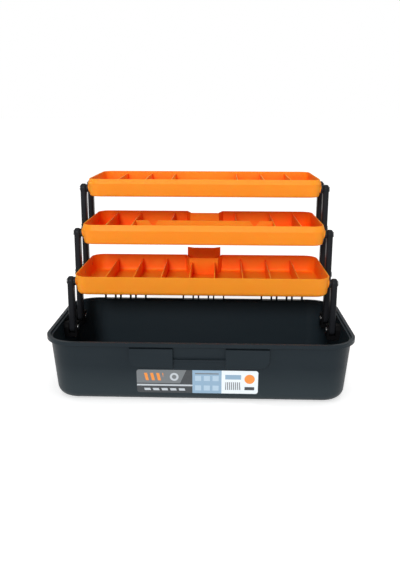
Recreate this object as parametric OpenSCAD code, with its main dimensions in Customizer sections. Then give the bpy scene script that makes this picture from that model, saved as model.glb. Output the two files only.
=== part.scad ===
// Cantilever tool box: a deep tub with three divided trays that swing up and back on parallel arms.
// It is drawn fully open. X runs to the right, Y to the back, Z up, in millimetres.
// The origin is the middle of the tub's bottom, on the surface that it stands on.

/* [Base tub] */
// Width of the tub over its rim
base_w = 470; // [440:1:520]
// Depth of the tub over its rim
base_d = 238; // [226:1:280]
// Height of the tub's rim
base_h = 97; // [84:1:115]
// Plan radius of the rim's corners
base_corner = 49; // [36:1:49]
// Wall thickness of the tub
base_wall = 3; // [2:0.2:4]
// Floor thickness of the tub
base_floor = 3.4; // [2:0.2:5]
// Lean of the tub's walls, in degrees
base_lean = 5; // [2:0.5:7]
// Radius of the tub's bottom edge
base_foot = 15; // [6:0.5:15]
// How far the rim stands out from the wall
rim_over = 5.5; // [4:0.5:8]
// Height of the rim's outer band
rim_band = 6; // [4:0.5:10]
// Width of the rim's top edge
rim_edge = 5; // [3:0.5:6]
// Depth of the step inside the rim, where the lid's edge would sit
rim_step = 3; // [1.5:0.5:3.5]

/* [Latch seat] */
// Width of the latch seat over both ears
seat_w = 207; // [170:1:240]
// Width of the gap between the ears
seat_gap = 78; // [50:1:110]
// Drop of the ears' top edge below the rim
ear_drop = 9; // [8:0.5:14]
// Height of the ears
ear_h = 29; // [20:0.5:32]
// How far the ears' top stands out from the wall
ear_out = 5.5; // [3:0.5:7]
// Radius of the ears' lower outer corners
ear_round = 13; // [4:1:16]
// Height of the catch ridge above the ears' lower edge
ridge_up = 8.5; // [5:0.5:14]
// Thickness of the catch ridge
ridge_t = 3; // [2:0.5:5]
// How far the catch ridge stands out from the wall
ridge_out = 3.5; // [2:0.5:5]
// How far the panel under the ridge stands out from the wall
panel_out = 1.4; // [0.6:0.2:2]

/* [Front label] */
// Width of the label
label_w = 182; // [120:1:200]
// Height of the label
label_h = 38.5; // [24:0.5:40]
// Thickness of the label
label_t = 0.3; // [0.2:0.1:0.6]
// Radius of the label's corners
label_r = 4; // [1:0.5:8]
// Shift of the label to the left
label_shift = 3; // [0:1:8]
// Height of the label's lower edge above the tub's bottom
label_up = 14; // [14:0.5:17]

/* [Lid hinge lugs] */
// Distance of the outer hinge groups' middles from the tub's ends
lug_from_end = 93.5; // [80:0.5:110]
// Distance from a group's middle to its inner plates
lug_in = 9; // [6:0.5:10]
// Distance from a group's middle to its middle plates
lug_mid = 18.5; // [14:0.5:22]
// Distance from a group's middle to its outer plates
lug_out = 36.5; // [28:0.5:42]
// Thickness of a lug plate
lug_t = 2.6; // [2:0.2:4]
// Radius of a lug's round top
lug_r = 4.4; // [4:0.2:5]
// Height of the lug's bore above the rim
lug_up = 5; // [3:0.2:6]
// Diameter of the bore for the lid's hinge pin
lug_bore_d = 4.2; // [3:0.2:5]

/* [Lower tray] */
// Depth of every tray at its widest
tray_d = 174; // [165:1:180]
// Plan radius of the trays' corners
tray_corner = 22; // [16:1:28]
// Wall thickness of the trays
tray_wall = 1.6; // [1.2:0.2:2.4]
// Floor thickness of the trays
tray_floor = 1.6; // [1.2:0.2:2.4]
// Height of the lower tray
low_h = 31; // [26:0.5:32]
// Lean of the lower tray's walls, in degrees
low_lean = 5; // [2:0.5:7]
// Radius of the lower tray's bottom edge
low_foot = 7; // [3:0.5:9]
// Height of the lower tray's rim above its pivots
low_rim_up = 12; // [10:0.5:13]

/* [Finger pocket and grip] */
// Depth of the finger pocket in the lower tray's back
pocket_d = 28; // [22:1:34]
// Half width of the pocket at its front
pocket_in = 24; // [22.5:0.5:30]
// Half width of the pocket at its back
pocket_out = 32; // [31.5:0.5:38]
// Height of the grip above the lower tray's rim
grip_up = 15; // [8:0.5:15]
// Distance of the grip's front face from the tray's back edge
grip_in = 11; // [8:0.5:12]
// Half width of the grip's flat front
grip_flat = 19.5; // [15:0.5:20]
// Half width of the grip at its back edge
grip_back = 30; // [26:0.5:30.5]
// Thickness of the grip
grip_t = 2; // [1.6:0.2:2.6]

/* [Middle tray] */
// Height of the middle tray
mid_h = 33; // [28:0.5:33.5]
// Height of the middle tray's rim above its pivots
mid_rim_up = 16; // [13:0.5:17]
// Half width of the middle tray's back recess at its front
recess_in = 25; // [24:0.5:30]
// Half width of the middle tray's back recess at its back
recess_out = 34; // [33.5:0.5:40]
// Depth of the middle tray's back recess
recess_d = 28; // [22:1:30]

/* [Upper tray] */
// Height of the upper tray
top_h = 30.5; // [27:0.5:31]
// Height of the upper tray's rim above its pivots
top_rim_up = 17.5; // [14:0.5:18]

/* [Tray lip] */
// Height of the sloped band under the middle tray's rim
mid_band = 9.5; // [6:0.5:12]
// Height of the sloped band under the upper tray's rim
top_band = 8; // [5:0.5:10]
// How far the rim is set in from the crease under it
band_in = 3; // [1:0.5:4]
// Lean of the walls below the crease, in degrees
band_lean = 8; // [4:0.5:10]
// Radius of the bottom edge of the middle and upper trays
band_foot = 4; // [2:0.5:6]

/* [Dividers] */
// Thickness of the dividers
div_t = 1.5; // [1.2:0.1:2.5]
// Drop of the lower tray's dividers below its rim
low_div_drop = 8; // [4:0.5:12]
// Distance of the lower tray's 1st dividers from the middle
low_div_1 = 20.5; // [18:0.5:22]
// Distance of the lower tray's 2nd dividers from the middle
low_div_2 = 67; // [55:1:80]
// Distance of the lower tray's 3rd dividers from the middle
low_div_3 = 112.5; // [98:1:125]
// Distance of the lower tray's 4th dividers from the middle
low_div_4 = 158; // [145:1:175]
// Drop of the middle tray's dividers below its rim
mid_div_drop = 4; // [2:0.5:8]
// Distance of the middle tray's 1st dividers from the middle
mid_div_1 = 57.5; // [45:0.5:70]
// Distance of the middle tray's 2nd dividers from the middle
mid_div_2 = 122; // [110:1:135]
// Distance of the middle tray's 3rd dividers from the middle
mid_div_3 = 166; // [150:1:180]
// Distance of the middle tray's long wall from its front edge
long_wall_y = 80; // [60:1:100]
// Distance of the long wall's notches from the middle
notch_x = 90; // [76:1:106]
// Width of a notch at its top
notch_w = 18; // [8:1:24]
// Depth of a notch
notch_d = 13; // [6:0.5:18]
// Drop of the upper tray's dividers below its rim
top_div_drop = 4.5; // [2:0.5:8]
// Distance of the upper tray's 1st dividers from the middle
top_div_1 = 59.5; // [40:0.5:75]
// Distance of the upper tray's 2nd dividers from the middle
top_div_2 = 106.5; // [90:0.5:120]
// Distance of the upper tray's 3rd dividers from the middle
top_div_3 = 155; // [140:1:170]

/* [Arms] */
// Distance from the tub's pivots to the lower tray's, along the arms
low_arm_len = 77.5; // [70:0.5:80]
// Distance between the pivots of neighbouring trays, along the arms
arm_len = 68; // [60:1:72]
// Distance between neighbouring arms on a tray
arm_pitch = 61; // [54:1:62]
// Lean of the open arms past upright, in degrees
arm_lean = 2.5; // [0:0.5:5]
// Width of an arm, seen from the side
arm_w = 16; // [13:0.5:18]
// Thickness of an arm
arm_t = 10; // [7:0.5:10.5]
// Radius of an arm's long edges
arm_edge = 3.4; // [1:0.2:3.4]
// Gap between a tray's widest line and the arms
arm_gap = 3; // [1:0.1:3.5]
// Distance of the tub's front pivots from its back edge
pivot_from_back = 122.4; // [122:0.2:131]
// Drop of the tub's pivots below its rim
pivot_drop = 15.5; // [12:0.5:18]
// Distance of the front pivots from a tray's front edge
tray_pivot_in = 21; // [17:0.5:24]

/* [Pivot pins] */
// Diameter of the pivot pins
pin_d = 5; // [4:0.2:6]
// Radial running clearance of an arm on its pin
run_gap = 0.05; // [0.02:0.01:0.1]
// Diameter of a pin's head
head_d = 9; // [7.5:0.5:11]
// Thickness of a pin's head
head_t = 1.2; // [0.8:0.1:1.6]
// Gap beside an arm, from each face that it moves along
side_gap = 0.3; // [0.2:0.05:0.4]
// Diameter of the round boss on a tray at each pivot
boss_d = 14; // [11:0.5:16]
// Depth that a tray pin stays short of the tray's inner face
pin_short = 0.4; // [0.2:0.1:0.8]

/* [Arm brackets] */
// Thickness of a bracket's inner cheek, and the depth that the pin goes into the outer one
cheek_t = 3; // [2:0.2:4]
// Thickness of a bracket's outer cheek at the pivot, between the arm and the tub's wall
cheek_out = 7.9; // [6:0.1:12]
// Radius of a bracket's cheeks round the pivot
cheek_r = 8.5; // [8:0.5:10]
// Depth of a bracket below the pivot
bracket_drop = 14; // [13:0.5:20]
// Thickness of the stop rib behind an arm
stop_t = 3; // [2:0.2:3.6]
// Gap between an arm's round end and its bracket
end_gap = 0.5; // [0.3:0.1:1]
// Gap between the open arm and the stop rib
stop_gap = 0.3; // [0.2:0.05:0.6]

/* [Colours] */
// Colour of the tub
tub_color = "#2f3a40";
// Colour of the trays
tray_color = "#f58a1e";
// Colour of the arms
arm_color = "#3c3c3c";
// Colour of the pins
pin_color = "#8c8f92";
// Colour of the label
label_color = "#b9d3e6";

/* [Hidden] */
$fn = 64;
// A cut runs this far past the faces that it opens
past = 1;
// Longer than a bracket is in any direction
far = 80;
// Drop of a bracket's stop rib below the top of its cheeks
rib_drop = 1;
// One step of the open linkage between two trays, to the back and up
step_y = arm_len * sin(arm_lean);
step_z = arm_len * cos(arm_lean);
// Y of the tub's front pivots, and of the front edge of each tray
front_pivot_y = base_d / 2 - pivot_from_back;
low_y = front_pivot_y + low_arm_len * sin(arm_lean) - tray_pivot_in;
mid_y = low_y + arm_pitch + step_y;
top_y = mid_y + arm_pitch + step_y;
// Z of the pivots in the tub and on each tray
base_pivot_z = base_h - pivot_drop;
low_pz = base_pivot_z + low_arm_len * cos(arm_lean);
mid_pz = low_pz + step_z;
top_pz = mid_pz + step_z;
// Z of the bottom of each tray
low_z = low_pz + low_rim_up - low_h;
mid_z = mid_pz + mid_rim_up - mid_h;
top_z = top_pz + top_rim_up - top_h;
// The tub's corner middles and its wall's radii there
tub_cx = base_w / 2 - base_corner;
tub_cy = base_d / 2 - base_corner;
wall_top = base_h - rim_band;
wall_r = base_corner - rim_over;
ear_top = base_h - ear_drop;
// Distance between the hinge groups
lug_pitch = base_w / 2 - lug_from_end;
// X of the arms' outer and inner faces, counted in from the tub's wall
arm_xo = wall_in_x(base_pivot_z) - cheek_out - side_gap;
arm_x = arm_xo - arm_t;
// Half widths of the trays, of their middles and of their corner middles
tray_hx = arm_x - arm_gap;
tray_cx = tray_hx - tray_corner;
tray_cy = tray_d / 2 - tray_corner;
// How much narrower a leaning wall is at a drop below its top
function lean_in(drop, lean) = drop * tan(lean);
// Half depth of the tub's outer wall at a height
function wall_y(z) = tub_cy + wall_r - lean_in(wall_top - z, base_lean);
function wall_in_x(z) = tub_cx + wall_r - base_wall - lean_in(wall_top - z, base_lean);
// Half width of a tray's inner wall at its rim and at its floor
low_in_top = tray_corner - tray_wall;
band_in_top = tray_corner - band_in - tray_wall;
mid_in_foot = tray_corner - lean_in(mid_h - mid_band, band_lean) - tray_wall;
top_in_foot = tray_corner - lean_in(top_h - top_band, band_lean) - tray_wall;
mid_in_lean = atan((band_in_top - mid_in_foot) / mid_h);
top_in_lean = atan((band_in_top - top_in_foot) / top_h);
// Half width of each tray's inner face at its pivots, where the pins end
low_pin_x = tray_cx + low_in_top - lean_in(low_rim_up, low_lean) + pin_short;
mid_pin_x = tray_cx + band_in_top - lean_in(mid_rim_up, mid_in_lean) + pin_short;
top_pin_x = tray_cx + band_in_top - lean_in(top_rim_up, top_in_lean) + pin_short;

// Half of a body's section: straight leaning wall, round lower edge, from the corner's middle out
module wall_section(r, z0, z1, lean, foot) {
  r0 = r - lean_in(z1 - z0, lean);
  cx = r0 + foot * tan(lean) - foot / cos(lean);
  tx = cx + foot * cos(lean);
  tz = z0 + foot - foot * sin(lean);
  intersection() {
    union() {
      polygon([[0, z0], [cx, z0], [cx, z0 + foot], [tx, tz], [r, z1], [0, z1]]);
      translate([cx, z0 + foot]) circle(r = foot);
    }
    translate([0, z0]) square([r + past, z1 - z0]);
  }
}

// Section of a body with a crease under a rim that is set in
module band_section(r, z0, z1, lean, foot, band, inset) {
  wall_section(r, z0, z1 - band, lean, foot);
  polygon([[0, z1 - band], [r, z1 - band], [r - inset, z1], [0, z1]]);
}

// A rounded body: its section stands out from a core of half sizes hx and hy
module body_sides(h, z0, z1) {
  translate([h, 0]) children();
  mirror([1, 0]) translate([h, 0]) children();
  translate([-h, z0]) square([2 * h, z1 - z0]);
}

module round_body(hx, hy, z0, z1) {
  rotate([90, 0, 0]) linear_extrude(2 * hy, center = true) body_sides(hx, z0, z1) children();
  rotate([90, 0, 90]) linear_extrude(2 * hx, center = true) body_sides(hy, z0, z1) children();
  translate([hx, hy, 0]) rotate_extrude(angle = 90) children();
  translate([-hx, hy, 0]) rotate([0, 0, 90]) rotate_extrude(angle = 90) children();
  translate([-hx, -hy, 0]) rotate([0, 0, 180]) rotate_extrude(angle = 90) children();
  translate([hx, -hy, 0]) rotate([0, 0, 270]) rotate_extrude(angle = 90) children();
}

module round_plate(w, d, r) {
  square([w - 2 * r, d], center = true);
  square([w, d - 2 * r], center = true);
  for (x = [-1, 1]) {
    for (y = [-1, 1]) {
      translate([x * (w / 2 - r), y * (d / 2 - r)]) circle(r = r);
    }
  }
}

// ---- Tub ----

module tub_outer() {
  round_body(tub_cx, tub_cy, 0, wall_top) wall_section(wall_r, 0, wall_top, base_lean, base_foot);
  translate([0, 0, wall_top]) linear_extrude(rim_band) round_plate(base_w, base_d, base_corner);
}

module tub_inner() {
  foot = base_foot - base_wall;
  top = base_h + past;
  r = wall_r - base_wall + lean_in(top - wall_top, base_lean);
  round_body(tub_cx, tub_cy, base_floor, top) wall_section(r, base_floor, top, base_lean, foot);
}

// One ear of the latch seat, seen from the front
module ear_outline() {
  low = ear_top - ear_h;
  x0 = seat_gap / 2;
  x1 = seat_w / 2;
  translate([x0, low]) square([x1 - x0 - ear_round, ear_h]);
  translate([x0, low + ear_round]) square([x1 - x0, ear_h - ear_round]);
  translate([x1 - ear_round, low + ear_round]) circle(r = ear_round);
}

module seat_pads() {
  low = ear_top - ear_h;
  ear_y = wall_y(ear_top) + ear_out;
  ridge_z = low + ridge_up;
  ridge_y = wall_y(ridge_z) + ridge_out;
  panel_y = wall_y(ridge_z) + panel_out;
  back = tub_cy + wall_r - base_wall - lean_in(wall_top, base_lean);
  for (s = [0, 1]) {
    mirror([s, 0, 0]) translate([0, -back, 0]) rotate([90, 0, 0])
      linear_extrude(ear_y - back) ear_outline();
  }
  translate([-seat_gap / 2, -ridge_y, ridge_z]) cube([seat_gap, ridge_y - back, ridge_t]);
  translate([-seat_gap / 2, -panel_y, low]) cube([seat_gap, panel_y - back, ridge_up]);
}

module base_tub() {
  step_r = base_corner - rim_edge;
  color(tub_color) difference() {
    union() {
      tub_outer();
      seat_pads();
    }
    tub_inner();
    translate([0, 0, base_h - rim_step]) linear_extrude(rim_step + past)
      round_plate(base_w - 2 * rim_edge, base_d - 2 * rim_edge, step_r);
  }
}

module front_label() {
  mid_z_label = label_up + label_h / 2 * cos(base_lean);
  color(label_color) translate([-label_shift, -wall_y(mid_z_label), mid_z_label])
    rotate([90 + base_lean, 0, 0]) linear_extrude(label_t) round_plate(label_w, label_h, label_r);
}

// ---- Lid hinge lugs: a strip in the rim's step with six plates that stand on the rim ----

module lug_group() {
  inner = base_d / 2 - rim_edge;
  lug_y = base_d / 2 - lug_r;
  strip = 2 * lug_out + lug_t;
  difference() {
    union() {
      translate([-strip / 2, lug_y - lug_r, base_h - rim_step])
        cube([strip, inner - lug_y + lug_r, rim_step]);
      for (x = [-lug_out, -lug_mid, -lug_in, lug_in, lug_mid, lug_out]) {
        translate([x - lug_t / 2, lug_y, base_h]) rotate([90, 0, 90]) linear_extrude(lug_t) {
          translate([-lug_r, 0]) square([2 * lug_r, lug_up]);
          intersection() {
            translate([0, lug_up]) circle(r = lug_r);
            translate([-lug_r, 0]) square([2 * lug_r, lug_up + lug_r + past]);
          }
        }
      }
    }
    translate([-strip / 2 - past, lug_y, base_h + lug_up]) rotate([0, 90, 0])
      cylinder(d = lug_bore_d, h = strip + 2 * past);
  }
}

module hinge_lugs_left() {
  color(tub_color) translate([-lug_pitch, 0, 0]) lug_group();
}

module hinge_lugs_center() {
  color(tub_color) lug_group();
}

module hinge_lugs_right() {
  color(tub_color) translate([lug_pitch, 0, 0]) lug_group();
}

// ---- Arm brackets on the tub's end walls ----

module bracket(y) {
  x0 = arm_x - side_gap - cheek_t;
  x1 = arm_xo + side_gap + cheek_t;
  reach = arm_w / 2 + stop_gap;
  back = reach + stop_t;
  translate([0, y, base_pivot_z]) difference() {
    translate([x0, 0, 0]) rotate([90, 0, 90]) linear_extrude(wall_in_x(base_pivot_z) - x0 + past) {
      circle(r = cheek_r);
      translate([-cheek_r, -bracket_drop]) square([cheek_r + back, bracket_drop]);
      rotate(-arm_lean) translate([0, -bracket_drop / 2])
        square([back, bracket_drop / 2 + cheek_r * cos(arm_lean) - rib_drop]);
    }
    translate([arm_x - side_gap, 0, 0]) rotate([90, 0, 90]) linear_extrude(arm_t + 2 * side_gap)
      rotate(-arm_lean) translate([reach - far, -arm_w / 2 - end_gap]) square([far, far]);
    translate([x0 - past, 0, 0]) rotate([0, 90, 0]) cylinder(d = pin_d, h = x1 - x0 + past);
    translate([wall_in_x(base_pivot_z), 0, 0]) rotate([0, base_lean, 0])
      translate([0, -far, -far]) cube(2 * far);
  }
}

module bracket_right_front() {
  color(arm_color) bracket(front_pivot_y);
}

module bracket_right_rear() {
  color(arm_color) bracket(front_pivot_y + arm_pitch);
}

module bracket_left_front() {
  color(arm_color) mirror([1, 0, 0]) bracket(front_pivot_y);
}

module bracket_left_rear() {
  color(arm_color) mirror([1, 0, 0]) bracket(front_pivot_y + arm_pitch);
}

// A tub pin: head inside, shank through both cheeks and the arm between them
module base_pin(y) {
  x0 = arm_x - side_gap - cheek_t;
  x1 = arm_xo + side_gap + cheek_t;
  translate([x0, y, base_pivot_z]) rotate([0, 90, 0]) cylinder(d = pin_d, h = x1 - x0);
  translate([x0 - head_t, y, base_pivot_z]) rotate([0, 90, 0]) cylinder(d = head_d, h = head_t);
}

module base_pins_right() {
  color(pin_color) {
    base_pin(front_pivot_y);
    base_pin(front_pivot_y + arm_pitch);
  }
}

module base_pins_left() {
  color(pin_color) mirror([1, 0, 0]) {
    base_pin(front_pivot_y);
    base_pin(front_pivot_y + arm_pitch);
  }
}

// ---- Arms: each starts at its lowest pivot and leans back ----
// n is the number of its pivots; first is the distance between the lowest two

module arm_half_section() {
  hw = arm_w / 2;
  ht = arm_t / 2;
  translate([0, -ht]) square([hw - arm_edge, arm_t]);
  translate([0, -ht + arm_edge]) square([hw, arm_t - 2 * arm_edge]);
  translate([hw - arm_edge, ht - arm_edge]) circle(r = arm_edge);
  translate([hw - arm_edge, -ht + arm_edge]) circle(r = arm_edge);
}

module arm(y, z, first, n) {
  span = first + arm_len * (n - 2);
  translate([(arm_x + arm_xo) / 2, y, z]) rotate([-arm_lean, 0, 0]) rotate([0, 90, 0]) difference() {
    union() {
      rotate([0, -90, 0]) linear_extrude(span) {
        rotate(90) arm_half_section();
        rotate(-90) arm_half_section();
      }
      rotate([0, 0, -90]) rotate_extrude(angle = 180) arm_half_section();
      translate([-span, 0, 0]) rotate([0, 0, 90]) rotate_extrude(angle = 180) arm_half_section();
    }
    cylinder(r = pin_d / 2 + run_gap, h = arm_t + 2 * past, center = true);
    for (i = [1 : n - 1]) {
      translate([-first - arm_len * (i - 1), 0, 0])
        cylinder(r = pin_d / 2 + run_gap, h = arm_t + 2 * past, center = true);
    }
  }
}

module front_arm_right() {
  color(arm_color) arm(front_pivot_y, base_pivot_z, low_arm_len, 2);
}

module front_arm_left() {
  color(arm_color) mirror([1, 0, 0]) arm(front_pivot_y, base_pivot_z, low_arm_len, 2);
}

module long_lower_arm_right() {
  color(arm_color) arm(front_pivot_y + arm_pitch, base_pivot_z, low_arm_len, 3);
}

module long_lower_arm_left() {
  color(arm_color) mirror([1, 0, 0]) arm(front_pivot_y + arm_pitch, base_pivot_z, low_arm_len, 3);
}

module long_upper_arm_right() {
  color(arm_color) arm(low_y + tray_pivot_in + 2 * arm_pitch, low_pz, arm_len, 3);
}

module long_upper_arm_left() {
  color(arm_color) mirror([1, 0, 0]) arm(low_y + tray_pivot_in + 2 * arm_pitch, low_pz, arm_len, 3);
}

module rear_arm_right() {
  color(arm_color) arm(mid_y + tray_pivot_in + 2 * arm_pitch, mid_pz, arm_len, 2);
}

module rear_arm_left() {
  color(arm_color) mirror([1, 0, 0]) arm(mid_y + tray_pivot_in + 2 * arm_pitch, mid_pz, arm_len, 2);
}

// ---- Trays ----

// Bosses on a tray's end wall, from inside the wall to the arm; n is the number of pivots
module tray_bosses(y, pz, x_in, n) {
  for (s = [0, 1]) {
    for (i = [0 : n - 1]) {
      mirror([s, 0, 0]) translate([x_in, y + tray_pivot_in + i * arm_pitch, pz]) rotate([0, 90, 0])
        cylinder(d = boss_d, h = arm_x - side_gap - x_in);
    }
  }
}

module tray_bores(y, pz, x_in, n) {
  for (s = [0, 1]) {
    for (i = [0 : n - 1]) {
      mirror([s, 0, 0]) translate([x_in, y + tray_pivot_in + i * arm_pitch, pz]) rotate([0, 90, 0])
        cylinder(d = pin_d, h = arm_x - x_in);
    }
  }
}

// The notch in a tray's back edge: half width a at depth d in front of the edge, b at the edge
module back_notch(y, a, b, d, z0, z1) {
  edge = y + tray_d;
  grow = (b - a) / d * past;
  translate([0, 0, z0]) linear_extrude(z1 - z0)
    polygon([[-a, edge - d], [a, edge - d], [b + grow, edge + past], [-b - grow, edge + past]]);
}

module low_inner() {
  foot = low_foot - tray_wall;
  z0 = low_z + tray_floor;
  z1 = low_z + low_h + past;
  r = low_in_top + lean_in(past, low_lean);
  translate([0, low_y + tray_d / 2, 0]) round_body(tray_cx, tray_cy, z0, z1)
    wall_section(r, z0, z1, low_lean, foot);
}

// The grip stands on the pocket's floor and swings through the middle tray's recess
module grip() {
  edge = low_y + tray_d;
  f = edge - grip_in;
  b = edge - lean_in(low_h, low_lean);
  translate([0, 0, low_z + tray_floor / 2]) linear_extrude(low_h + grip_up - tray_floor / 2)
    polygon([
      [-grip_flat, f], [grip_flat, f], [grip_back, b - grip_t], [grip_back, b],
      [grip_back - grip_t, b], [grip_flat - grip_t / 2, f + grip_t],
      [-grip_flat + grip_t / 2, f + grip_t], [-grip_back + grip_t, b], [-grip_back, b],
      [-grip_back, b - grip_t]
    ]);
}

module lower_tray() {
  z1 = low_z + low_h;
  color(tray_color) {
    difference() {
      union() {
        translate([0, low_y + tray_d / 2, 0]) round_body(tray_cx, tray_cy, low_z, z1)
          wall_section(tray_corner, low_z, z1, low_lean, low_foot);
        tray_bosses(low_y, low_pz, low_pin_x, 3);
      }
      difference() {
        low_inner();
        back_notch(low_y, pocket_in + tray_wall, pocket_out + tray_wall, pocket_d + tray_wall,
          low_z - past, z1 + 3 * past);
      }
      back_notch(low_y, pocket_in, pocket_out, pocket_d, low_z + tray_floor, z1 + past);
      tray_bores(low_y, low_pz, low_pin_x - pin_short - past, 3);
    }
    grip();
  }
}

module band_tray(y, z0, h, band) {
  z1 = z0 + h;
  translate([0, y + tray_d / 2, 0]) round_body(tray_cx, tray_cy, z0, z1)
    band_section(tray_corner, z0, z1, band_lean, band_foot, band, band_in);
}

module band_inner(y, z0, h, in_lean) {
  foot = band_foot - tray_wall;
  zb = z0 + tray_floor;
  zt = z0 + h + past;
  r = band_in_top + lean_in(past, in_lean);
  translate([0, y + tray_d / 2, 0]) round_body(tray_cx, tray_cy, zb, zt)
    wall_section(r, zb, zt, in_lean, foot);
}

module middle_tray() {
  z1 = mid_z + mid_h;
  color(tray_color) difference() {
    union() {
      band_tray(mid_y, mid_z, mid_h, mid_band);
      tray_bosses(mid_y, mid_pz, mid_pin_x, 3);
    }
    difference() {
      band_inner(mid_y, mid_z, mid_h, mid_in_lean);
      back_notch(mid_y, recess_in + tray_wall, recess_out + tray_wall, recess_d + tray_wall,
        mid_z - past, z1 + 3 * past);
    }
    back_notch(mid_y, recess_in, recess_out, recess_d, mid_z - past, z1 + past);
    tray_bores(mid_y, mid_pz, mid_pin_x - pin_short - past, 3);
  }
}

module upper_tray() {
  color(tray_color) difference() {
    union() {
      band_tray(top_y, top_z, top_h, top_band);
      tray_bosses(top_y, top_pz, top_pin_x, 2);
    }
    band_inner(top_y, top_z, top_h, top_in_lean);
    tray_bores(top_y, top_pz, top_pin_x - pin_short - past, 2);
  }
}

// ---- Dividers: plates cut to the tray's inner shape ----

module cross_plate(x, y0, y1, z0, z1) {
  translate([x - div_t / 2, y0, z0]) cube([div_t, y1 - y0, z1 - z0]);
}

module lower_dividers() {
  z1 = low_z + low_h - low_div_drop;
  front = low_y + tray_d - pocket_d - tray_wall;
  color(tray_color) intersection() {
    low_inner();
    union() {
      for (s = [-1, 1]) {
        cross_plate(s * low_div_1, low_y, front, low_z, z1);
        for (x = [low_div_2, low_div_3, low_div_4]) {
          cross_plate(s * x, low_y, low_y + tray_d, low_z, z1);
        }
      }
    }
  }
}

module middle_dividers() {
  wall_at = mid_y + long_wall_y;
  z1 = mid_z + mid_h - mid_div_drop;
  color(tray_color) intersection() {
    band_inner(mid_y, mid_z, mid_h, mid_in_lean);
    union() {
      for (s = [-1, 1]) {
        cross_plate(s * mid_div_1, wall_at, mid_y + tray_d, mid_z, z1);
        cross_plate(s * mid_div_2, mid_y, mid_y + tray_d, mid_z, z1);
        cross_plate(s * mid_div_3, mid_y, mid_y + tray_d, mid_z, z1);
      }
      difference() {
        translate([-mid_div_2, wall_at - div_t / 2, mid_z])
          cube([2 * mid_div_2, div_t, z1 - mid_z]);
        for (s = [-1, 1]) {
          translate([s * notch_x, wall_at + div_t, z1]) rotate([90, 0, 0])
            linear_extrude(2 * div_t)
              polygon([[-notch_w / 2, past], [-notch_w / 2, 0], [0, -notch_d], [notch_w / 2, 0],
                [notch_w / 2, past]]);
        }
      }
    }
  }
}

module upper_dividers() {
  z1 = top_z + top_h - top_div_drop;
  color(tray_color) intersection() {
    band_inner(top_y, top_z, top_h, top_in_lean);
    union() {
      for (s = [-1, 1]) {
        for (x = [top_div_1, top_div_2, top_div_3]) {
          cross_plate(s * x, top_y, top_y + tray_d, top_z, z1);
        }
      }
    }
  }
}

// ---- Tray pins: pressed into the bosses, head outside the arm ----

module tray_pins(y, pz, x_in, n) {
  x1 = arm_xo + side_gap;
  for (i = [0 : n - 1]) {
    translate([x_in, y + tray_pivot_in + i * arm_pitch, pz]) rotate([0, 90, 0]) {
      cylinder(d = pin_d, h = x1 - x_in);
      translate([0, 0, x1 - x_in]) cylinder(d = head_d, h = head_t);
    }
  }
}

module lower_pins_right() {
  color(pin_color) tray_pins(low_y, low_pz, low_pin_x, 3);
}

module lower_pins_left() {
  color(pin_color) mirror([1, 0, 0]) tray_pins(low_y, low_pz, low_pin_x, 3);
}

module middle_pins_right() {
  color(pin_color) tray_pins(mid_y, mid_pz, mid_pin_x, 3);
}

module middle_pins_left() {
  color(pin_color) mirror([1, 0, 0]) tray_pins(mid_y, mid_pz, mid_pin_x, 3);
}

module upper_pins_right() {
  color(pin_color) tray_pins(top_y, top_pz, top_pin_x, 2);
}

module upper_pins_left() {
  color(pin_color) mirror([1, 0, 0]) tray_pins(top_y, top_pz, top_pin_x, 2);
}

base_tub();
front_label();
hinge_lugs_left();
hinge_lugs_center();
hinge_lugs_right();
bracket_left_front();
bracket_left_rear();
bracket_right_front();
bracket_right_rear();
base_pins_left();
base_pins_right();
front_arm_left();
front_arm_right();
long_lower_arm_left();
long_lower_arm_right();
long_upper_arm_left();
long_upper_arm_right();
rear_arm_left();
rear_arm_right();
lower_tray();
lower_dividers();
lower_pins_left();
lower_pins_right();
middle_tray();
middle_dividers();
middle_pins_left();
middle_pins_right();
upper_tray();
upper_dividers();
upper_pins_left();
upper_pins_right();
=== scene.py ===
import math

import bpy
from mathutils import Matrix, Vector


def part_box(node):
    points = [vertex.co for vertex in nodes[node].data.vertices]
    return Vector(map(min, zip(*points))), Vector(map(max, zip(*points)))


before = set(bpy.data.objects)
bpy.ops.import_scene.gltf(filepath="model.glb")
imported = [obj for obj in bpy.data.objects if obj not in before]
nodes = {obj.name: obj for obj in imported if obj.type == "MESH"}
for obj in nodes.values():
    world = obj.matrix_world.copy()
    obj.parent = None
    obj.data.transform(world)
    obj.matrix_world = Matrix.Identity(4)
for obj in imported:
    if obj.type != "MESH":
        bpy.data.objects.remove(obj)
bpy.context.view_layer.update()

scene = bpy.context.scene

# ---- Colours, linear ----

DARK = (0.012, 0.019, 0.024)
DARK_DEEP = (0.009, 0.015, 0.020)
# The next colour is painted bounce light from the floor, laid low on the tub's outward faces
DARK_PAINTED_BOUNCE = (0.029, 0.040, 0.046)
BLACK = (0.014, 0.015, 0.018)
BLACK_DEEP = (0.010, 0.011, 0.013)
# The next two colours are painted shade: the brackets darker than the tub's own plastic, to blend into the
# shade inside the tub
SHADE_BLACK = (0.0045, 0.0045, 0.0050)
SHADE_DEEP = (0.0035, 0.0035, 0.0040)
ORANGE = (0.88, 0.300, 0.022)
ORANGE_DEEP = (0.86, 0.280, 0.018)
# The next colour is painted red shade for the trays' hollows
RED_PAINTED_SHADE = (1.0, 0.085, 0.0)
STEEL = (0.30, 0.30, 0.30)
STEEL_DEEP = (0.20, 0.20, 0.20)

LABEL_DARK = (0.025, 0.03, 0.035)
LABEL_GRAY = (0.15, 0.165, 0.175)
LABEL_PALE = (0.52, 0.56, 0.60)
LABEL_SKY = (0.26, 0.40, 0.54)
LABEL_HAZE = (0.42, 0.56, 0.68)
LABEL_PAPER = (0.80, 0.86, 0.90)
LABEL_ORANGE = (0.86, 0.27, 0.03)
LABEL_DUST = (0.30, 0.31, 0.32)

# ---- What the materials need, with lengths in metres and angles in degrees ----

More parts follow.
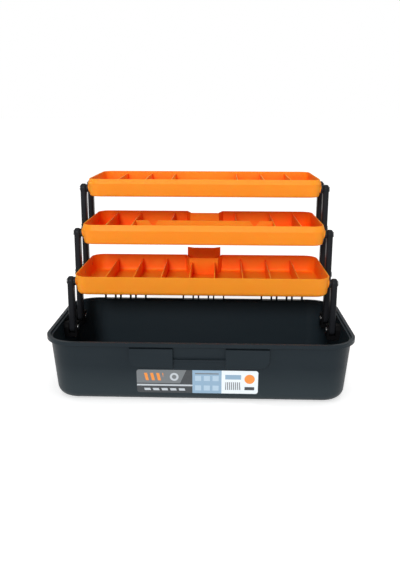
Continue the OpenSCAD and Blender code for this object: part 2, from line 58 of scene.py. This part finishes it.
# Half width of the trays, and each tray's crease above its bottom and the lean of its wall below that
TRAY_HALF = 0.2045
CREASES = {"lower_tray": (0.031, 5.0), "middle_tray": (0.0235, 8.0), "upper_tray": (0.0225, 8.0)}
# What stands out of a tray's end wall by more than this is one of its dark pivot bosses
BOSS_MARGIN = 0.0002
# How high the painted bounce light from the floor on the tub's foot reaches, and how uneven its upper edge
# is
BOUNCE_UP = 0.062
BOUNCE_UNEVEN = 0.01
# A face of the tub is an outward one where its normal times its place, seen from above, is more than this
OUTWARD = 0.002
# How far the orange faces look for open sky, and the shares of it at which they are all painted red shade
# and all orange
SKY_REACH = 0.07
SKY_SHUT = 0.16
SKY_OPEN = 0.60
# How much light spreads inside the orange plastic, how far, and each colour's share of that way
GLOW_SHARE = 0.50
GLOW_DEPTH = 0.006
GLOW_COLORS = (1.0, 0.30, 0.05)
# How fine the clouds, specks and flow marks are, and how much they do to colour, gloss and relief
CLOUD_SCALE = 14.0
SPECK_SCALE = 420.0
FLOW_SCALE = (9.0, 26.0, 60.0)
CLOUD_TONE = 0.6
FLOW_TONE = 0.4
CLOUD_GLOSS = 0.05
SPECK_GLOSS = 0.06
FLOW_RELIEF = 0.5
# The part of a noise that is spread out; what lies past its ends is held there
NOISE_LOW = 0.25
NOISE_HIGH = 0.75

# ---- Floor, light and camera, in metres and radians, with lens and sensor in millimetres ----

WHITE = (1.0, 1.0, 1.0, 1.0)
FLOOR_COLOR = (0.93, 0.93, 0.93, 1.0)
FLOOR_GLOW = 0.38
FLOOR_HALF = 30.0
FLOOR_NEAR = -10.0
FLOOR_FAR = 60.0
FLOOR_Z = -0.0002
# How strongly the world lights the object, and how far from that towards white its mirror image goes
WORLD_LIGHT = 0.45
WORLD_MIRRORED = 0.4
LAMPS_AIM = (0.0, 0.05, 0.15)
KEY_PLACE = (-0.30, -1.80, 1.06)
KEY_STRENGTH = 2.0
KEY_ANGLE = math.radians(14.0)
TOP_PLACE = (0.1, -0.2, 2.3)
TOP_SIZE = (1.6, 1.2)
TOP_POWER = 12.0
# The camera comes from fits to the photographed rim, trays and arms
CAMERA_PLACE = (0.0284, -0.9758, 0.4191)
CAMERA_YAW = -0.0318
CAMERA_PITCH = 0.2650
CAMERA_ROLL = 0.0021
CAMERA_LENS = 39.49
CAMERA_SENSOR = 36.0


# ---- Node helpers ----

def link(tree, source, target):
    tree.links.new(source, target)


def math_node(tree, operation, first, second=None):
    node = tree.nodes.new("ShaderNodeMath")
    node.operation = operation
    for socket, value in zip(node.inputs, (first, second)):
        if value is None:
            continue
        if isinstance(value, (int, float)):
            socket.default_value = value
        else:
            link(tree, value, socket)
    return node.outputs[0]


def add(tree, first, second):
    return math_node(tree, "ADD", first, second)


def times(tree, first, second):
    return math_node(tree, "MULTIPLY", first, second)


def noise(tree, place, scale, detail, rough, distort=0.0):
    node = tree.nodes.new("ShaderNodeTexNoise")
    node.inputs["Scale"].default_value = scale
    node.inputs["Detail"].default_value = detail
    node.inputs["Roughness"].default_value = rough
    node.inputs["Distortion"].default_value = distort
    link(tree, place, node.inputs["Vector"])
    return node.outputs["Fac"]


def stretch(tree, place, factors):
    node = tree.nodes.new("ShaderNodeMapping")
    node.vector_type = "POINT"
    node.inputs["Scale"].default_value = factors
    link(tree, place, node.inputs["Vector"])
    return node.outputs["Vector"]


def split(tree, place):
    node = tree.nodes.new("ShaderNodeSeparateXYZ")
    link(tree, place, node.inputs["Vector"])
    return node.outputs


def map_range(tree, value, from_low, from_high, to_low, to_high):
    node = tree.nodes.new("ShaderNodeMapRange")
    node.inputs["From Min"].default_value = from_low
    node.inputs["From Max"].default_value = from_high
    node.inputs["To Min"].default_value = to_low
    node.inputs["To Max"].default_value = to_high
    link(tree, value, node.inputs["Value"])
    return node.outputs["Result"]


def span(tree, cloud, low, high):
    """Spread a noise over the values from low to high."""
    return map_range(tree, cloud, NOISE_LOW, NOISE_HIGH, low, high)


def named(sockets, name, kind):
    """The first socket of that name and kind."""
    return [socket for socket in sockets if socket.name == name and socket.type == kind][0]


def mix_color(tree, share, first, second):
    """The first colour where share is 0 and the second where it is 1."""
    node = tree.nodes.new("ShaderNodeMix")
    node.data_type = "RGBA"
    for name, color in (("A", first), ("B", second)):
        socket = named(node.inputs, name, "RGBA")
        if isinstance(color, tuple):
            socket.default_value = color + (1.0,)
        else:
            link(tree, color, socket)
    link(tree, share, named(node.inputs, "Factor", "VALUE"))
    return named(node.outputs, "Result", "RGBA")


def rounded(tree, radius):
    """A normal that eases the edges."""
    node = tree.nodes.new("ShaderNodeBevel")
    node.samples = 4
    node.inputs["Radius"].default_value = radius
    return node.outputs["Normal"]


def relief(tree, shader, height, strength, depth, normal=None):
    node = tree.nodes.new("ShaderNodeBump")
    node.inputs["Strength"].default_value = strength
    node.inputs["Distance"].default_value = depth
    link(tree, height, node.inputs["Height"])
    if normal:
        link(tree, normal, node.inputs["Normal"])
    link(tree, node.outputs["Normal"], shader.inputs["Normal"])


def start(name):
    material = bpy.data.materials.new(name)
    material.use_nodes = True
    tree = material.node_tree
    shader = tree.nodes["Principled BSDF"]
    place = tree.nodes.new("ShaderNodeTexCoord").outputs["Object"]
    return material, tree, shader, place


# ---- Moulded plastic ----

def paint_red_shade_in_hollows(tree, shader, color, painted_shade_red):
    """Paint red shade on shut-in faces, standing in for light bounced and scattered in the hollows, and
    let light spread in the walls, as in the photographed trays.
    """
    sky = tree.nodes.new("ShaderNodeAmbientOcclusion")
    sky.samples = 6
    sky.inputs["Distance"].default_value = SKY_REACH
    shader.inputs["Subsurface Weight"].default_value = GLOW_SHARE
    shader.inputs["Subsurface Radius"].default_value = GLOW_COLORS
    shader.inputs["Subsurface Scale"].default_value = GLOW_DEPTH
    share = map_range(tree, sky.outputs["AO"], SKY_SHUT, SKY_OPEN, 0.0, 1.0)
    return mix_color(tree, share, painted_shade_red, color)


def blacken_bosses(tree, place, color, crease, lean):
    """Turn what stands out sideways from a tray's leaning end walls black."""
    where = split(tree, place)
    across = math_node(tree, "ABSOLUTE", where["X"])
    below = math_node(tree, "SUBTRACT", crease, where["Z"])
    out = add(tree, across, times(tree, below, math.tan(math.radians(lean))))
    share = math_node(tree, "GREATER_THAN", out, TRAY_HALF + BOSS_MARGIN)
    return mix_color(tree, share, color, BLACK)


def paint_floor_bounce_on_foot(tree, place, cloud, color, painted_bounce):
    """Painted bounce light from the floor: a paler colour low on the tub's outward faces, whose normals
    point away from its middle.
    """
    height = add(tree, split(tree, place)["Z"], times(tree, cloud, BOUNCE_UNEVEN))
    bounce_share = map_range(tree, height, 0.0, BOUNCE_UP, 1.0, 0.0)
    facing = tree.nodes.new("ShaderNodeVectorMath")
    facing.operation = "DOT_PRODUCT"
    link(tree, tree.nodes.new("ShaderNodeNewGeometry").outputs["Normal"], facing.inputs[0])
    link(tree, stretch(tree, place, (1.0, 1.0, 0.0)), facing.inputs[1])
    outward = math_node(tree, "GREATER_THAN", facing.outputs["Value"], OUTWARD)
    return mix_color(tree, times(tree, bounce_share, outward), color, painted_bounce)


def moulded(name, light, deep, rough, grain, depth, edge, spec, painted_shade_red=None, bosses=None, painted_bounce=None):
    """A moulded plastic: grainy skin, faint flow marks, uneven colour and gloss, and eased edges."""
    material, tree, shader, place = start(name)
    cloud = noise(tree, place, CLOUD_SCALE, detail=3.0, rough=0.5, distort=0.4)
    flow = noise(tree, stretch(tree, place, FLOW_SCALE), 1.0, detail=4.0, rough=0.6, distort=0.6)
    speck = noise(tree, place, SPECK_SCALE, detail=2.0, rough=0.6)
    skin = noise(tree, place, grain, detail=2.0, rough=0.6)
    tone = add(tree, times(tree, cloud, CLOUD_TONE), times(tree, flow, FLOW_TONE))
    color = mix_color(tree, span(tree, tone, 0.0, 1.0), light, deep)
    # Painted red shade in the hollows, where asked
    if painted_shade_red:
        color = paint_red_shade_in_hollows(tree, shader, color, painted_shade_red)
    if bosses:
        color = blacken_bosses(tree, place, color, *bosses)
    # Painted bounce light from the floor on the foot, where asked
    if painted_bounce:
        color = paint_floor_bounce_on_foot(tree, place, cloud, color, painted_bounce)
    link(tree, color, shader.inputs["Base Color"])
    cloudy = span(tree, cloud, -CLOUD_GLOSS, CLOUD_GLOSS)
    speckled = span(tree, speck, rough - SPECK_GLOSS, rough + SPECK_GLOSS)
    link(tree, add(tree, cloudy, speckled), shader.inputs["Roughness"])
    shader.inputs["Specular IOR Level"].default_value = spec
    height = add(tree, skin, times(tree, flow, FLOW_RELIEF))
    relief(tree, shader, height, strength=0.6, depth=depth, normal=rounded(tree, edge))
    return material


# The tub gets painted bounce light from the floor on its foot
def tub_plastic():
    return moulded("tub_plastic", DARK, DARK_DEEP, rough=0.42, grain=1500.0, depth=0.00010,
                   edge=0.0007, spec=0.14, painted_bounce=DARK_PAINTED_BOUNCE)


def lug_plastic():
    return moulded("lug_plastic", DARK, DARK_DEEP, rough=0.42, grain=1700.0, depth=0.00008,
                   edge=0.0003, spec=0.14)


def arm_plastic():
    return moulded("arm_plastic", BLACK, BLACK_DEEP, rough=0.40, grain=1300.0, depth=0.00006,
                   edge=0.0006, spec=0.08)


# The brackets are painted near-black, darker than the tub, as painted shade for where they sit inside the
# tub
def bracket_painted_shade():
    return moulded("bracket_painted_shade", SHADE_BLACK, SHADE_DEEP, rough=0.55, grain=1400.0, depth=0.00008,
                   edge=0.0004, spec=0.03)


# The dividers and trays get painted red shade in their hollows
def divider_plastic():
    return moulded("divider_plastic", ORANGE, ORANGE_DEEP, rough=0.50, grain=1700.0, depth=0.00004,
                   edge=0.0003, spec=0.12, painted_shade_red=RED_PAINTED_SHADE)


def tray_plastic(tray):
    crease_up, crease_lean = CREASES[tray]
    bottom = min(vertex.co.z for vertex in nodes[tray].data.vertices)
    return moulded(tray + "_plastic", ORANGE, ORANGE_DEEP, rough=0.50, grain=1600.0, depth=0.00005,
                   edge=0.0005, spec=0.12, painted_shade_red=RED_PAINTED_SHADE, bosses=(bottom + crease_up, crease_lean))


# ---- Steel ----

def pin_steel():
    """Turned steel: rings round the pins' own axis, which runs along X."""
    material, tree, shader, place = start("pin_steel")
    rings = noise(tree, stretch(tree, place, (3200.0, 60.0, 60.0)), 1.0, detail=3.0, rough=0.6)
    smear = noise(tree, place, 260.0, detail=3.0, rough=0.6)
    color = mix_color(tree, span(tree, smear, 0.0, 1.0), STEEL, STEEL_DEEP)
    link(tree, color, shader.inputs["Base Color"])
    link(tree, span(tree, rings, 0.22, 0.36), shader.inputs["Roughness"])
    shader.inputs["Metallic"].default_value = 1.0
    relief(tree, shader, rings, strength=0.4, depth=0.00003, normal=rounded(tree, 0.0004))
    return material


# ---- The label's print: plain panels and marks, in shares of the label's width and height ----

def label_print(low, high):
    material, tree, shader, place = start("label_print")
    where = split(tree, place)
    width = high[0] - low[0]
    height = high[2] - low[2]
    across = times(tree, math_node(tree, "SUBTRACT", where["X"], low[0]), 1.0 / width)
    upward = times(tree, math_node(tree, "SUBTRACT", where["Z"], low[2]), 1.0 / height)

    def less(value, limit):
        return math_node(tree, "LESS_THAN", value, limit)

    def between(value, least, most):
        return times(tree, math_node(tree, "GREATER_THAN", value, least), less(value, most))

    def panel(left, right, bottom, top):
        return times(tree, between(across, left, right), between(upward, bottom, top))

    def disc(middle_across, middle_up, radius):
        sideways = times(tree, math_node(tree, "SUBTRACT", across, middle_across), width / height)
        rise = math_node(tree, "SUBTRACT", upward, middle_up)
        square = add(tree, times(tree, sideways, sideways), times(tree, rise, rise))
        return less(square, radius * radius)

    def stripes(count, duty):
        lean = add(tree, times(tree, across, count), times(tree, upward, 0.9))
        return less(math_node(tree, "FRACT", lean), duty)

    def striped(area, count, duty):
        return times(tree, area, stripes(count, duty))

    slanted = less(add(tree, across, times(tree, upward, -0.09)), 0.32)
    # Left: a slanted gray field with stripes and a ring, a line under it, and a row of dashes
    marks = [
        (times(tree, slanted, between(upward, 0.42, 1.0)), LABEL_GRAY),
        (panel(0.0, 0.46, 0.30, 0.37), LABEL_PALE),
        (striped(panel(0.05, 0.22, 0.54, 0.86), 20.0, 0.5), LABEL_ORANGE),
        (disc(0.31, 0.70, 0.17), LABEL_PALE),
        (disc(0.31, 0.70, 0.09), LABEL_GRAY),
        (striped(panel(0.05, 0.40, 0.10, 0.20), 14.0, 0.7), LABEL_PALE),
    ]
    # Middle: three columns and two rows of squares on blue, under a gray bar
    marks.append((panel(0.46, 0.70, 0.0, 1.0), LABEL_SKY))
    for column in range(3):
        for row in range(2):
            left = 0.482 + 0.072 * column
            bottom = 0.12 + 0.42 * row
            marks.append((panel(left, left + 0.050, bottom, bottom + 0.22), LABEL_HAZE))
    marks.append((panel(0.482, 0.676, 0.83, 0.88), LABEL_GRAY))
    # Right: stripes, a blue block, a disc and a dark dash on a pale ground
    marks += [
        (panel(0.70, 1.0, 0.0, 1.0), LABEL_PAPER),
        (striped(panel(0.73, 0.86, 0.16, 0.50), 60.0, 0.5), LABEL_GRAY),
        (panel(0.73, 0.86, 0.62, 0.82), LABEL_SKY),
        (disc(0.93, 0.64, 0.20), LABEL_ORANGE),
        (panel(0.89, 0.97, 0.16, 0.30), LABEL_DARK),
    ]
    color = LABEL_DARK
    for share, paint in marks:
        color = mix_color(tree, share, color, paint)

    fleck = noise(tree, place, 900.0, detail=3.0, rough=0.6)
    wave = noise(tree, place, 60.0, detail=2.0, rough=0.5)
    dusty = mix_color(tree, span(tree, fleck, 0.0, 0.10), color, LABEL_DUST)
    link(tree, dusty, shader.inputs["Base Color"])
    link(tree, span(tree, wave, 0.28, 0.42), shader.inputs["Roughness"])
    relief(tree, shader, add(tree, wave, times(tree, fleck, 0.2)), strength=0.35, depth=0.00008)
    return material


# ---- A material for each node, by the first of these words that its name holds ----

tub_mat = tub_plastic()
lug_mat = lug_plastic()
arm_mat = arm_plastic()
bracket_mat = bracket_painted_shade()
divider_mat = divider_plastic()
tray_mats = {tray: tray_plastic(tray) for tray in CREASES}
steel_mat = pin_steel()
label_low, label_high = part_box("front_label")
label_mat = label_print(label_low, label_high)

BY_WORD = (
    ("dividers", divider_mat),
    ("pins", steel_mat),
    ("arm", arm_mat),
    ("bracket", bracket_mat),
    ("lugs", lug_mat),
    ("label", label_mat),
)


def material_for(name):
    for word, material in BY_WORD:
        if word in name:
            return material
    return tray_mats.get(name, tub_mat)


for name, obj in nodes.items():
    obj.data.materials.clear()
    obj.data.materials.append(material_for(name))

# ---- Floor: pale, and lifted towards white for the camera and for mirror images ----

floor_mesh = bpy.data.meshes.new("floor")
floor_mesh.from_pydata(
    [
        (-FLOOR_HALF, FLOOR_NEAR, FLOOR_Z),
        (FLOOR_HALF, FLOOR_NEAR, FLOOR_Z),
        (FLOOR_HALF, FLOOR_FAR, FLOOR_Z),
        (-FLOOR_HALF, FLOOR_FAR, FLOOR_Z),
    ],
    [],
    [(0, 1, 2, 3)],
)
floor = bpy.data.objects.new("floor", floor_mesh)
scene.collection.objects.link(floor)
floor_mat = bpy.data.materials.new("floor_white")
floor_mat.use_nodes = True
floor_tree = floor_mat.node_tree
floor_shader = floor_tree.nodes["Principled BSDF"]
floor_shader.inputs["Base Color"].default_value = FLOOR_COLOR
floor_shader.inputs["Roughness"].default_value = 0.9
floor_shader.inputs["Specular IOR Level"].default_value = 0.1
floor_shader.inputs["Emission Color"].default_value = WHITE
floor_ray = floor_tree.nodes.new("ShaderNodeLightPath").outputs
floor_seen = math_node(floor_tree, "MAXIMUM", floor_ray["Is Camera Ray"], floor_ray["Is Glossy Ray"])
link(floor_tree, times(floor_tree, floor_seen, FLOOR_GLOW), floor_shader.inputs["Emission Strength"])
floor.data.materials.append(floor_mat)

# ---- World: white to the camera, and dimmer as a light ----

world = bpy.data.worlds.new("studio")
scene.world = world
world.use_nodes = True
world_tree = world.node_tree
background = world_tree.nodes["Background"]
background.inputs["Color"].default_value = WHITE
world_ray = world_tree.nodes.new("ShaderNodeLightPath").outputs
seen = math_node(world_tree, "MAXIMUM", world_ray["Is Camera Ray"], world_ray["Is Transmission Ray"])
mirrored = times(world_tree, world_ray["Is Glossy Ray"], WORLD_MIRRORED)
whiteness = math_node(world_tree, "MAXIMUM", seen, mirrored)
level = add(world_tree, times(world_tree, whiteness, 1.0 - WORLD_LIGHT), WORLD_LIGHT)
link(world_tree, level, background.inputs["Strength"])


# ---- Lamps ----

def lamp(name, data, place):
    obj = bpy.data.objects.new(name, data)
    scene.collection.objects.link(obj)
    obj.location = place
    obj.rotation_euler = (Vector(LAMPS_AIM) - Vector(place)).to_track_quat("-Z", "Y").to_euler()


key_data = bpy.data.lights.new("key", "SUN")
key_data.energy = KEY_STRENGTH
key_data.angle = KEY_ANGLE
lamp("key", key_data, KEY_PLACE)

top_data = bpy.data.lights.new("top", "AREA")
top_data.shape = "RECTANGLE"
top_data.size = TOP_SIZE[0]
top_data.size_y = TOP_SIZE[1]
top_data.energy = TOP_POWER
lamp("top", top_data, TOP_PLACE)

# ---- Camera ----

ahead = math.cos(CAMERA_PITCH)
forward = Vector((math.sin(CAMERA_YAW) * ahead, math.cos(CAMERA_YAW) * ahead, -math.sin(CAMERA_PITCH)))
level_right = Vector((math.cos(CAMERA_YAW), -math.sin(CAMERA_YAW), 0.0))
level_up = level_right.cross(forward)
right = level_right * math.cos(CAMERA_ROLL) + level_up * math.sin(CAMERA_ROLL)
up = level_up * math.cos(CAMERA_ROLL) - level_right * math.sin(CAMERA_ROLL)
turn = Matrix((right, up, -forward)).transposed().to_4x4()
camera_data = bpy.data.cameras.new("camera")
camera_data.sensor_fit = "AUTO"
camera_data.sensor_width = CAMERA_SENSOR
camera_data.lens = CAMERA_LENS
camera_data.clip_start = 0.01
camera_data.clip_end = 200.0
camera = bpy.data.objects.new("camera", camera_data)
scene.collection.objects.link(camera)
camera.matrix_world = Matrix.Translation(CAMERA_PLACE) @ turn
scene.camera = camera
scene.view_settings.view_transform = "Standard"
